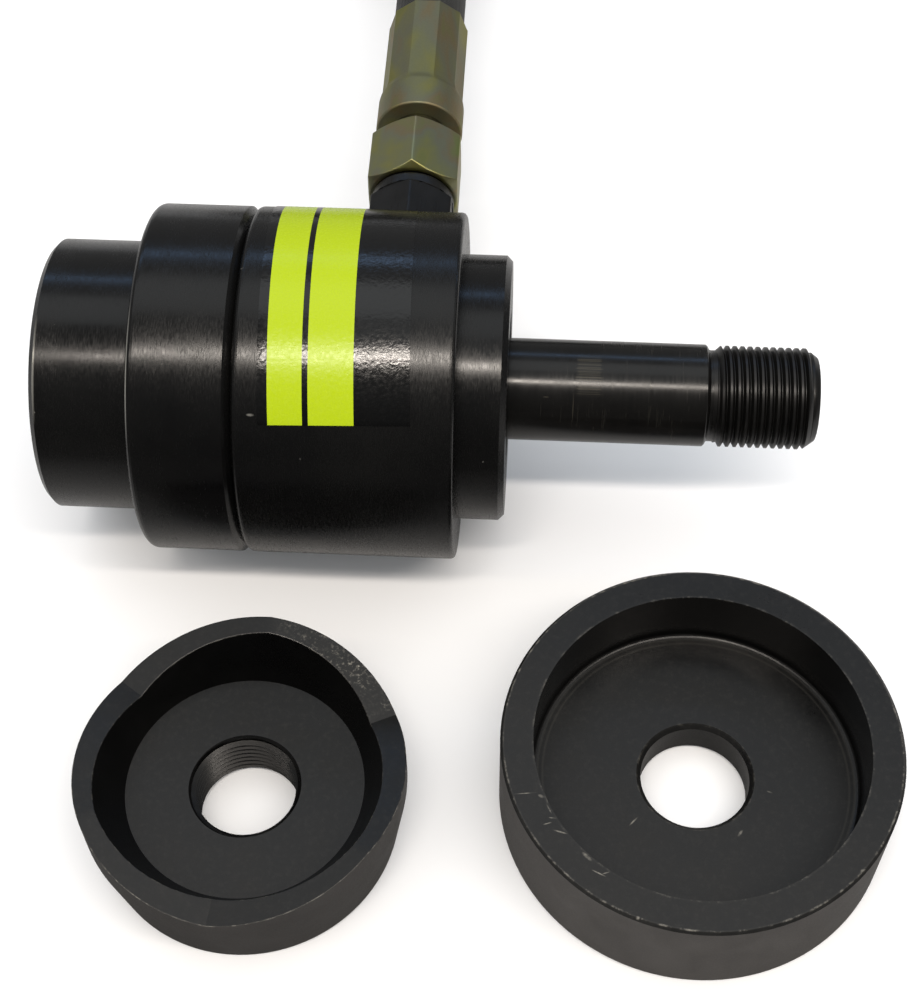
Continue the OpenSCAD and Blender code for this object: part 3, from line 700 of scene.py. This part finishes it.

# Return spring: oiled spring wire wound to the right, with its end turns closed. It sits behind
# the piston; in use it shortens by the stroke when oil draws the ram in, but here it is built at one length.
spring_wire = 3.5 * mm
spring_r = 16.25 * mm
spring_start = -83.7 * mm
spring_end = -42 * mm
wire_clear = 0.1 * mm
close_pitch = spring_wire + 0.5 * mm
spring_turns = 6.5
spring_rise = spring_end - spring_start - spring_wire - 2 * wire_clear
open_turns = spring_turns - 2
open_pitch = (spring_rise - 2 * close_pitch) / open_turns
steps_per_turn = 32
shape = bmesh.new()
bmesh.ops.create_circle(
    shape, cap_ends=True, segments=12, radius=spring_wire / 2,
    matrix=Matrix.Translation((spring_start + wire_clear + spring_wire / 2, spring_r, 0)))
edge = list(shape.edges)
for turns, pitch_x in ((1, close_pitch), (open_turns, open_pitch), (1, close_pitch)):
    made = bmesh.ops.spin(
        shape, geom=edge, cent=(0, 0, 0), axis=(1, 0, 0), angle=turns * math.tau,
        steps=int(turns * steps_per_turn), dvec=(pitch_x / steps_per_turn, 0, 0))
    edge = edges_in(made["geom_last"])
bmesh.ops.edgeloop_fill(shape, edges=edge)
close_up(shape, 0.01)
oiled, tree, shader = new_finish("oiled_spring_wire", Metallic=1.0)
drawn = noise(tree, on_piece(tree), 700, 4)
paint(tree, shader, ramp(tree, drawn, (0.3, 0.10, 0.10, 0.105), (0.7, 0.20, 0.20, 0.205)),
      vary(tree, drawn, 0.28, 0.45))
bump(tree, shader, drawn, 0.00001, 0.5)
spring = finish_mesh("wound_return_spring", shape, oiled)
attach(spring, "head")
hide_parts("return_spring")
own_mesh(spring)

# Draw stud: alloy steel turned to a 20 mm shank, with a relief neck and a rolled thread of 1.5 mm
# pitch for the punch. Sheet and die have rubbed its blackening through in bands.
stud_r = 10 * mm
stud_root_x = -26 * mm
rod_end_x = -1 * mm
shank_end_x = 38.7 * mm
neck_end_x = 40.3 * mm
neck_r = 8.95 * mm
stud_end_x = 60 * mm
end_face_r = 8.25 * mm
end_bevel = 0.75
root_thread_r = 9.513 * mm
root_bevel = 1 * mm
shank_bevel = 0.4 * mm
thread_pitch = 1.5 * mm
thread_start = neck_end_x + 0.1 * mm
thread_run_in = 0.9
crest_r = 9.93 * mm
groove_r = 9.08 * mm
thread_steps = 72
drill_r = 2.6 * mm
drill_bevel = 0.3 * mm
drill_depth = 2.2 * mm
neck_curve = ((-0.45, stud_r), (-0.1, stud_r - 0.3 * mm), (0.25, neck_r + 0.1 * mm), (0.5, neck_r))
rubbed_band_x = 15.5 * mm
rubbed_brown = (0.26, 0.23, 0.16)
stud_scuffs = (
    ((7.39, -7.21, 6.93), (0, 0, 0), (0.7, 0.14, 0.14)), ((12.65, -8.4, 5.4), (0, 0, 0), (0.09, 3.6, 3.6)),
    ((27.35, -4.7, 8.8), (0, 0, 12), (0.1, 1.4, 1.4)), ((20.1, -5.2, 8.5), (0, 0, 0), (0.08, 1.1, 1.1)))


def spin_profile(shape, profile, steps=96):
    """Turns an open profile of (x, radius) points about the X axis."""
    dots, lines = draw_line(shape, [(x, 0, r) for x, r in profile])
    bmesh.ops.spin(shape, geom=dots + lines, cent=(0, 0, 0), axis=(1, 0, 0), angle=math.tau,
                   steps=steps, use_merge=True)


def square_cut(shape, place, away):
    """Cuts a shape at a plane, leaves the near side and gives back the cut's edges."""
    everything = list(shape.verts) + list(shape.edges) + list(shape.faces)
    made = bmesh.ops.bisect_plane(
        shape, geom=everything, dist=1e-7, plane_co=place, plane_no=away, clear_outer=True)
    return edges_in(made["geom_cut"])


def thread_sleeve(start, stop, low_r, high_r, pitch, steps):
    """A threaded sleeve about the X axis, cut square at both ends; low_r is its groove."""
    shape = bmesh.new()
    flank = 0.32 * pitch
    low_flat = 0.07 * pitch
    begin = start - 2 * pitch
    turns = math.ceil((stop - start) / pitch) + 3
    dots, lines = draw_line(shape, [(begin + x, 0, r) for x, r in (
        (0, low_r), (low_flat, low_r), (low_flat + flank, high_r), (pitch - flank, high_r), (pitch, low_r))])
    bmesh.ops.spin(shape, geom=dots + lines, cent=(0, 0, 0), axis=(1, 0, 0), angle=turns * math.tau,
                   steps=turns * steps, dvec=(pitch / steps, 0, 0))
    join_points(shape, 0.002)
    for place, away in ((start, -1), (stop, 1)):
        square_cut(shape, (place, 0, 0), (away, 0, 0))
    return shape


def open_loop(shape, axis, place):
    """The open edges that lie in a plane across an axis."""
    return [e for e in shape.edges if e.is_boundary
            and all(abs(v.co["xyz".index(axis)] - place) < 0.01 * mm for v in e.verts)]


def hold_radius(shape, held):
    """Moves each point to the radius held(x, radius) about the X axis."""
    for vert in shape.verts:
        radius = math.hypot(vert.co.y, vert.co.z)
        vert.co.yz = vert.co.yz * (held(vert.co.x, radius) / radius)


shape = thread_sleeve(thread_start, stud_end_x, groove_r, crest_r, thread_pitch, thread_steps)
hold_radius(shape, lambda x, r: min(r, groove_r + 0.05 * mm + (x - thread_start) * thread_run_in,
                                    end_face_r + (stud_end_x - x) * end_bevel))
spin_profile(shape, ((stud_end_x, drill_r), (stud_end_x - drill_bevel, drill_r - drill_bevel),
                     (stud_end_x - drill_depth, 0)))
bmesh.ops.bridge_loops(shape, edges=open_loop(shape, "x", stud_end_x))
start_loop = open_loop(shape, "x", thread_start)
spin_profile(shape, (
    (stud_root_x, 0), (stud_root_x, root_thread_r - root_bevel), (stud_root_x + root_bevel, root_thread_r),
    (rod_end_x, root_thread_r), (rod_end_x, stud_r - shank_bevel), (rod_end_x + shank_bevel, stud_r),
    *((shank_end_x + x * mm, r) for x, r in neck_curve), (neck_end_x, neck_r)))
bmesh.ops.bridge_loops(shape, edges=start_loop + open_loop(shape, "x", neck_end_x))
close_up(shape, 0.002)

rubbed, tree, shader = new_finish("rubbed_black_stud", Specular_IOR_Level=0.4)
place = on_piece(tree)
along = xyz_of(tree, place)["X"]
turn = turn_of(tree, place)
rings = line_noise(tree, along, 3000, 3, Roughness=0.7)
smudge = noise(tree, place, 90, 5, Roughness=0.65)
fret = stretched(tree, place, (2600, 130, 130), 4, Roughness=0.6)
stripes = line_noise(tree, turn, 34, 3, Roughness=0.7)
ragged = math_of(tree, "ADD", away_from(tree, along, rubbed_band_x), vary(tree, stripes, 0.5 * mm, -0.5 * mm))
patch = fold(tree, "MULTIPLY", spread(tree, ragged, 1.8 * mm, 2.4 * mm, 1, 0),
             spread(tree, away_from(tree, turn, 0.33), 0.30, 0.45, 1, 0),
             spread(tree, stripes, 0.45, 0.68, 0.01, 0.16))
haze = math_of(tree, "MULTIPLY", spread(tree, fret, 0.56, 0.78, 0, 0.04),
               spread(tree, smudge, 0.42, 0.66, 0, 1))
scratched = math_of(tree, "MULTIPLY", scuffs(tree, place, stud_scuffs),
                    spread(tree, smudge, 0.3, 0.6, 0.02, 0.12))
rub = fold(tree, "MAXIMUM", patch, haze, scratched)
skin = ramp(tree, smudge, (0.25, 0.0025, 0.0025, 0.0025), (0.75, 0.006, 0.0056, 0.005))
paint(tree, shader, blend_colour(tree, rub, skin, rubbed_brown), fold(
    tree, "ADD", vary(tree, fret, -0.05, 0.05), vary(tree, smudge, 0.18, 0.26),
    spread(tree, along, shank_end_x, neck_end_x, 0, 0.14)))
bump(tree, shader, rings, 0.000005, 0.7)
stud = finish_mesh("threaded_draw_stud", shape, rubbed, sharp=28)
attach(stud, "ram")
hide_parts("draw_stud")

# Port nipple: hexagon bar turned for the port thread and the cone-seat thread, blackened, and
# screwed into the body on a copper sealing washer.
nipple_af = 17
nipple_face_r = nipple_af / 2 - 0.2
nipple_start, hex_near, hex_far, seat_near, nipple_end = 24.3, 33.571, 47.271, 49.971, 60.721
port_r, nipple_collar_r, seat_thread_r, oil_r = 6, 8.8, 8, 2.5
cone_r, cone_foot_r, cone_foot, oil_way_end = 5.54, 3.95, 53.22, 53.12
black_bar, tree, shader = new_finish("blackened_bar", Specular_IOR_Level=0.3)
place = on_piece(tree)
draw_marks = stretched(tree, place, (2200, 90, 2200), 3)
smudge = noise(tree, place, 160, 5)
paint(tree, shader, ramp(tree, smudge, (0.3, 0.003, 0.003, 0.003), (0.7, 0.008, 0.008, 0.008)),
      vary(tree, draw_marks, 0.26, 0.4))
bump(tree, shader, draw_marks, 0.00001, 0.6)
shape = loft((
    *round_rings((oil_r, nipple_start), (port_r - 0.6, nipple_start), (port_r, nipple_start + 0.6),
                 (port_r, hex_near), (nipple_face_r, hex_near)),
    hex_ring(nipple_af, nipple_face_r, hex_near, 1), hex_ring(nipple_af, nipple_collar_r, hex_far, -1),
    *round_rings((nipple_collar_r, hex_far), (nipple_collar_r, seat_near - 0.4),
                 (nipple_collar_r - 0.4, seat_near), (seat_thread_r, seat_near),
                 (seat_thread_r, nipple_end - 0.5), (seat_thread_r - 0.5, nipple_end),
                 (cone_r, nipple_end), (cone_foot_r, cone_foot), (oil_r, oil_way_end))))
break_edges(shape, seat_thread_r + 0.2, 0.2)
fit_piece("hexagon_port_nipple", shape, to_port, black_bar, "head", "port_nipple")
copper, tree, shader = new_finish("dull_copper", Metallic=1.0)
tarnish = noise(tree, on_piece(tree), 420, 5)
paint(tree, shader, ramp(tree, tarnish, (0.3, 0.22, 0.10, 0.06), (0.7, 0.48, 0.22, 0.12)),
      vary(tree, tarnish, 0.5, 0.34))
bump(tree, shader, tarnish, 0.00001, 0.4)
coat(copper, "port_washer")

# Punch: hardened tool steel, a cup with a tapped web. Three V-shaped valleys are milled into its
# rim, so that three tips start the cut; use has brightened its edges.
punch_mid = Vector((-45.3, -77.7, -34)) * mm
punch_r = 30 * mm
base_r = 28 * mm
base_bevel = 0.6 * mm
tip_h = 22.8 * mm
valley_h = 18.3 * mm
web_h = 12 * mm
band_h = 14.5 * mm
blank_h = tip_h + 1 * mm
cup_r = 22 * mm
cup_lean = 24.6
cup_top_r = cup_r + (blank_h - web_h) * math.tan(math.radians(cup_lean))
tap_r = 9.188 * mm
mouth = 1.2 * mm
mouth_r = tap_r + mouth
first_tip = 85
half_sector = 60
sector_steps = 24
tap_steps = 96
worn_steel = (0.34, 0.32, 0.27)
painted_shade_way = (0.5, 0.87, 0)
painted_shade_reach = 26 * mm


def rim_sector(tip_angle, way):
    """A sixth of the punch, from a tip to a valley, with its rim cut to a slope."""
    shape = bmesh.new()
    tip = Vector((math.cos(tip_angle), math.sin(tip_angle), 0))
    up = Vector((0, 0, 1))
    dots, lines = draw_line(shape, [tip * r + up * z for r, z in (
        (mouth_r, 0), (base_r - base_bevel, 0), (base_r, base_bevel), (punch_r, band_h), (punch_r, blank_h),
        (cup_top_r, blank_h), (cup_r, web_h), (mouth_r, web_h))])
    bmesh.ops.spin(shape, geom=dots + lines, cent=(0, 0, 0), axis=(0, 0, 1),
                   angle=way * math.radians(half_sector), steps=sector_steps)
    valley_angle = tip_angle + way * math.radians(half_sector)
    to_tip = Vector((math.sin(valley_angle), -math.cos(valley_angle), 0)) * way
    slope = (tip_h - valley_h) / (punch_r * math.sin(math.radians(half_sector)))
    rim = square_cut(shape, up * valley_h, up - to_tip * slope)
    bmesh.ops.bridge_loops(shape, edges=rim)
    return shape


def add_shape(shape, more):
    """Puts one bmesh into another."""
    part = bpy.data.meshes.new("part")
    more.to_mesh(part)
    more.free()
    shape.from_mesh(part)
    bpy.data.meshes.remove(part)


shape = bmesh.new()
for tip_angle in (first_tip, first_tip + 120, first_tip + 240):
    for way in (1, -1):
        add_shape(shape, rim_sector(math.radians(tip_angle), way))
close_up(shape, 0.005)
worn_edge = shape.faces.layers.float.new("worn_edge")
for face in round_hard_edges(shape, 24, 0.14, lambda co: co.z > web_h + 1 * mm):
    face[worn_edge] = 1.0
thread = thread_sleeve(0, web_h, tap_r, stud_r, thread_pitch, tap_steps)
hold_radius(thread, lambda x, r: max(r, tap_r + max(0, mouth - x, x - (web_h - mouth))))
bmesh.ops.rotate(thread, verts=thread.verts, cent=(0, 0, 0), matrix=Matrix.Rotation(-math.pi / 2, 3, "Y"))
add_shape(shape, thread)
for height in (0, web_h):
    bmesh.ops.bridge_loops(shape, edges=open_loop(shape, "z", height))
close_up(shape, 0.002)
bmesh.ops.translate(shape, verts=shape.verts, vec=punch_mid)


def tool_steel(name, middle, wall_shade, cup_from, cup_gloss, wear_of):
    """Dull black hardened steel with painted shade in the cup and towards the back, browner on the outer
    wall, with its wear.
    """
    finish, tree, shader = new_finish(name, Specular_IOR_Level=0.4)
    place = wire(tree, "Mapping", {"Vector": on_piece(tree), "Location": -middle})
    height, radius = from_axis(tree, place, "Z")
    outward = measure(
        tree, "DOT_PRODUCT", coordinate(tree, "Normal"),
        wire(tree, "VectorMath", {0: across_axis(tree, place, "Z")}, operation="NORMALIZE"))
    mottle = noise(tree, place, 120, 6, Roughness=0.6)
    grain = noise(tree, place, 3200, 3)
    fleck = noise(tree, place, 900, 5, Roughness=0.75)
    # Painted shade: the top darkens towards the back and right, as if lit from the front left; that side is
    # also glossier.
    painted_shade_side = spread(tree, measure(tree, "DOT_PRODUCT", place, painted_shade_way), -painted_shade_reach, painted_shade_reach, 0, 1)
    top_skin = ramp(tree, mottle, (0.25, 0.0062, 0.0064, 0.0064), (0.75, 0.0098, 0.0096, 0.009))
    top_skin = blend_colour(tree, painted_shade_side, top_skin, (0.0028, 0.0028, 0.0028))
    top_skin = blend_colour(tree, spread(tree, fleck, 0.5, 0.8, 0, 0.35), top_skin, (0.03, 0.028, 0.025))
    outer_skin = ramp(tree, mottle, (0.25, *(wall_shade * c for c in (0.86, 0.80, 0.75))),
                      (0.75, *(wall_shade * c for c in (1.14, 1.06, 0.99))))
    skin = blend_colour(tree, spread(tree, outward, 0.8, 0.95, 0, 1), top_skin, outer_skin)
    # Painted shade: the inner wall of the cup, out from cup_from, is made near black.
    in_cup = math_of(tree, "MULTIPLY", spread(tree, outward, -0.4, -0.8, 0, 1),
                     spread(tree, radius, cup_from - 1 * mm, cup_from, 0, 1))
    skin = blend_colour(tree, in_cup, skin, (0.001, 0.001, 0.001))
    in_hole = math_of(tree, "MULTIPLY", spread(tree, radius, 10.4 * mm, 11 * mm, 1, 0),
                      spread(tree, height, 1 * mm, 2 * mm, 0, 0.06))
    shiny_cup = fold(tree, "MULTIPLY", in_cup, spread(tree, height, 10 * mm, 12 * mm, 0, 1), 0.5 - cup_gloss)
    dull = math_of(tree, "ADD", vary(tree, mottle, 0.44, 0.58), vary(tree, grain, -0.05, 0.05))
    dull = fold(tree, "SUBTRACT", dull, math_of(tree, "MULTIPLY", painted_shade_side, 0.16), shiny_cup, in_hole)
    wear = wear_of(tree, place, height, radius, outward)
    paint(tree, shader, blend_colour(tree, wear, skin, worn_steel), dull)
    bump(tree, shader, grain, 0.000012, 0.6)
    return finish


def chipped(tree, place, share):
    """Breaks a line of wear up into a few bright specks."""
    chips = noise(tree, place, 480, 5, Roughness=0.75)
    return math_of(tree, "MULTIPLY", share, spread(tree, chips, 0.5, 0.74, 0.02, 0.6))


def punch_wear(tree, place, height, radius, outward):
    """Worn cutting edges, and one rough bare slope of the rim behind the first tip."""
    marked = wire(tree, "Attribute", {}, attribute_name="worn_edge").node.outputs["Fac"]
    x, y, _ = xyz_of(tree, place)
    from_slope = away_from(tree, math_of(tree, "ARCTAN2", y, x), math.radians(first_tip - 30))
    slope = fold(tree, "MULTIPLY", spread(tree, from_slope, 0.46, 0.52, 1, 0),
                 spread(tree, height, 15 * mm, 16 * mm, 0, 1),
                 spread(tree, math_of(tree, "ABSOLUTE", outward), 0.3, 0.6, 1, 0))
    grit = noise(tree, place, 1500, 3, Roughness=0.7)
    patchy = noise(tree, place, 110, 3)
    grit = math_of(tree, "MULTIPLY", spread(tree, grit, 0.53, 0.75, 0, 0.58),
                   spread(tree, patchy, 0.42, 0.62, 0.1, 1))
    bare_slope = math_of(tree, "MULTIPLY", slope, math_of(tree, "ADD", 0.008, grit))
    outer = math_of(tree, "MULTIPLY", marked, spread(tree, radius, 28.4 * mm, 29.4 * mm, 0.25, 1))
    return math_of(tree, "MAXIMUM", chipped(tree, place, outer), bare_slope)


punch_steel = tool_steel("punch_steel", punch_mid, 0.044, 0, 0.45, punch_wear)
punch = finish_mesh("three_point_punch", shape, punch_steel, sharp=12)
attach(punch, "punch")
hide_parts("punch")

# Die: hardened tool steel turned to a cup with a bored web. The sheet lies on its rim, the punch
# pulls into the cup, and its base seats on the nose of the head.
die_mid = Vector((37.8, -69.8, -34)) * mm
die_outer_edges = ((22, 36),)
die_inner_edges = ((22, 30.5), (8.1, 10.9))
die_foot_edges = ((8.25, 29.4), (8.2, 28.5))
rim_scratches = (
    (-31.6, -11.8, 7, 2.2, 0.12), (-28.8, -12.2, -26, 0.6, 0.35), (-27.3, -14.6, -62, 1.1, 0.17),
    (-26.6, -16.3, -3, 0.8, 0.16), (-27.5, -17.4, 19, 0.9, 0.13), (-25.2, -18.9, -14, 1.5, 0.18),
    (-20.5, -23.3, -42, 1.3, 0.4), (-18.4, -26.3, -25, 1.5, 0.16), (-17.2, -26.2, 19, 0.8, 0.14),
    (-11.7, -34.1, 0, 0.4, 0.4), (27, -23.6, 30, 0.5, 0.3))
web_scratches = ((8, -11.2, 55, 0.9, 0.3), (-11.5, -9.8, 49, 1.3, 0.2), (13.7, -2.7, -20, 0.6, 0.2))
die_scratches = [
    ((x, y, height), (0, 0, turn), (length, width, 0.6))
    for height, scratches in ((22, rim_scratches), (8.2, web_scratches))
    for x, y, turn, length, width in scratches]


def die_wear(tree, place, height, radius, outward):
    """A few bright specks along the turned edges, and short scratches on rim and web."""
    fuzz = noise(tree, place, 1300, 3)
    scratched = math_of(tree, "MULTIPLY", scuffs(tree, place, die_scratches),
                        spread(tree, fuzz, 0.35, 0.65, 0.1, 0.42))
    foot = math_of(tree, "MULTIPLY", near_edges(tree, height, radius, die_foot_edges, 0.3), 0.03)
    inner = math_of(tree, "MULTIPLY", near_edges(tree, height, radius, die_inner_edges, 0.45), 0.35)
    outer = near_edges(tree, height, radius, die_outer_edges, 0.3)
    edges = chipped(tree, place, math_of(tree, "MAXIMUM", outer, inner))
    return fold(tree, "MAXIMUM", edges, scratched, foot)


coat(tool_steel("die_steel", die_mid, 0.066, 15 * mm, 0.27, die_wear), "die")

# Table: a broad plain pale board under the tool.
# It only carries the light and the soft shadows, and seen in reflections it is painted darker towards the
# front: painted shade.
table_z = -34 * mm
table_gap = 0.05 * mm
dim_front, bright_back = -0.115, -0.03
shape = bmesh.new()
bmesh.ops.create_grid(shape, x_segments=1, y_segments=1, size=4,
                      matrix=Matrix.Translation((0, 0, table_z - table_gap)))
board, tree, shader = new_finish("pale_board", Specular_IOR_Level=0.1, Roughness=0.9)
haze = noise(tree, on_piece(tree), 3, 2)
pale = ramp(tree, haze, (0.3, 0.845, 0.855, 0.87), (0.7, 0.865, 0.875, 0.89))
# Painted shade: in reflections the board is dark, darkest in front.
mirrored = tree.nodes.new("ShaderNodeLightPath").outputs["Is Glossy Ray"]
from_front = spread(tree, xyz_of(tree, on_piece(tree))["Y"], dim_front, bright_back, 0, 1)
dim = ramp(tree, from_front, (0, 0.055, 0.055, 0.055), (1, 0.46, 0.46, 0.46))
tree.links.new(blend_colour(tree, mirrored, pale, dim), shader.inputs["Base Color"])
table = finish_mesh("table", shape, board)

# Light: a long warm tube overhead on the camera's side, in five lengths that bend a little, a cool
# slit and a dim panel over the back, a small fill over the middle, and a dim room round them.
warm, cool, plain = (1.0, 0.915, 0.825), (0.36, 0.6, 1.0), (0.94, 0.98, 1.0)
lamp_distance = 1.2
tube_w = 0.075
room_axis = (0, 0.5, 0.866)
wall_white, floor_white = (0.95, 0.95, 0.95), (0.85, 0.85, 0.85)
tube_joints = ((-1.44, 24.5), (-0.33, 24.5), (-0.2, 22.4), (-0.06, 20.7), (0.07, 20.5), (1.2, 20.5))
tube_lengths = (("far_left_tube", 2.3), ("left_tube", 9.0), ("middle_tube", 12.5), ("right_tube", 11.2),
                ("far_right_tube", 6.6))
room_shades = ((0.0, 0.09), (0.29, 0.06), (0.525, 0.12), (0.65, 0.19), (0.78, 0.21), (0.94, 0.24),
               (0.985, 0.30), (1.0, 0.31))


def overhead(x, lean, distance=lamp_distance):
    """A place over the tool's axis, by its lean from straight up towards the camera."""
    angle = math.radians(lean)
    return Vector((x, -distance * math.sin(angle), distance * math.cos(angle)))


def area_light(name, left, right, width, watts, colour):
    """A lamp between two places over the tool that shines straight at its axis."""
    lamp = bpy.data.lights.new(name, "AREA")
    lamp.shape = "RECTANGLE"
    lamp.size, lamp.size_y = (right - left).length, width
    lamp.energy = watts
    lamp.color = colour
    middle = (left + right) / 2
    back = Vector((0, middle.y, middle.z)).normalized()
    along = (right - left) - back * (right - left).dot(back)
    along.normalize()
    made = bpy.data.objects.new(name, lamp)
    made.matrix_world = set_at(middle, along, back.cross(along), back)
    scene.collection.objects.link(made)


for (name, watts_per_metre), left, right in zip(tube_lengths, tube_joints, tube_joints[1:]):
    area_light(name, overhead(*left), overhead(*right), tube_w, watts_per_metre * (right[0] - left[0]), warm)
area_light("slit", overhead(-1.32, -47.5, 1.6), overhead(1.28, -47.5, 1.6), 0.12, 2.7, cool)
area_light("panel", overhead(-1.22, -16), overhead(1.18, -16), 0.56, 3.3, plain)
area_light("fill", overhead(-0.2, 8), overhead(0.5, 8), 0.36, 0.33, plain)

world = bpy.data.worlds.new("room")
world.use_nodes = True
scene.world = world
tree = world.node_tree
way_seen = coordinate(tree, "Generated")
lean = measure(tree, "DOT_PRODUCT", way_seen, room_axis)
room = ramp(tree, spread(tree, lean, -1, 1, 0, 1),
            *((place, shade, shade, shade) for place, shade in room_shades))
to_right = spread(tree, xyz_of(tree, way_seen)["X"], -0.7, 0.7, 1.32, 0.78)
room = wire(tree, "VectorMath", {0: room, "Scale": to_right}, operation="SCALE")
light_path = tree.nodes.new("ShaderNodeLightPath")
room = blend_colour(tree, light_path.outputs["Is Diffuse Ray"], room, floor_white)
room = blend_colour(tree, light_path.outputs["Is Camera Ray"], room, wall_white)
tree.links.new(room, tree.nodes["Background"].inputs["Color"])
scene.view_settings.view_transform = "Standard"
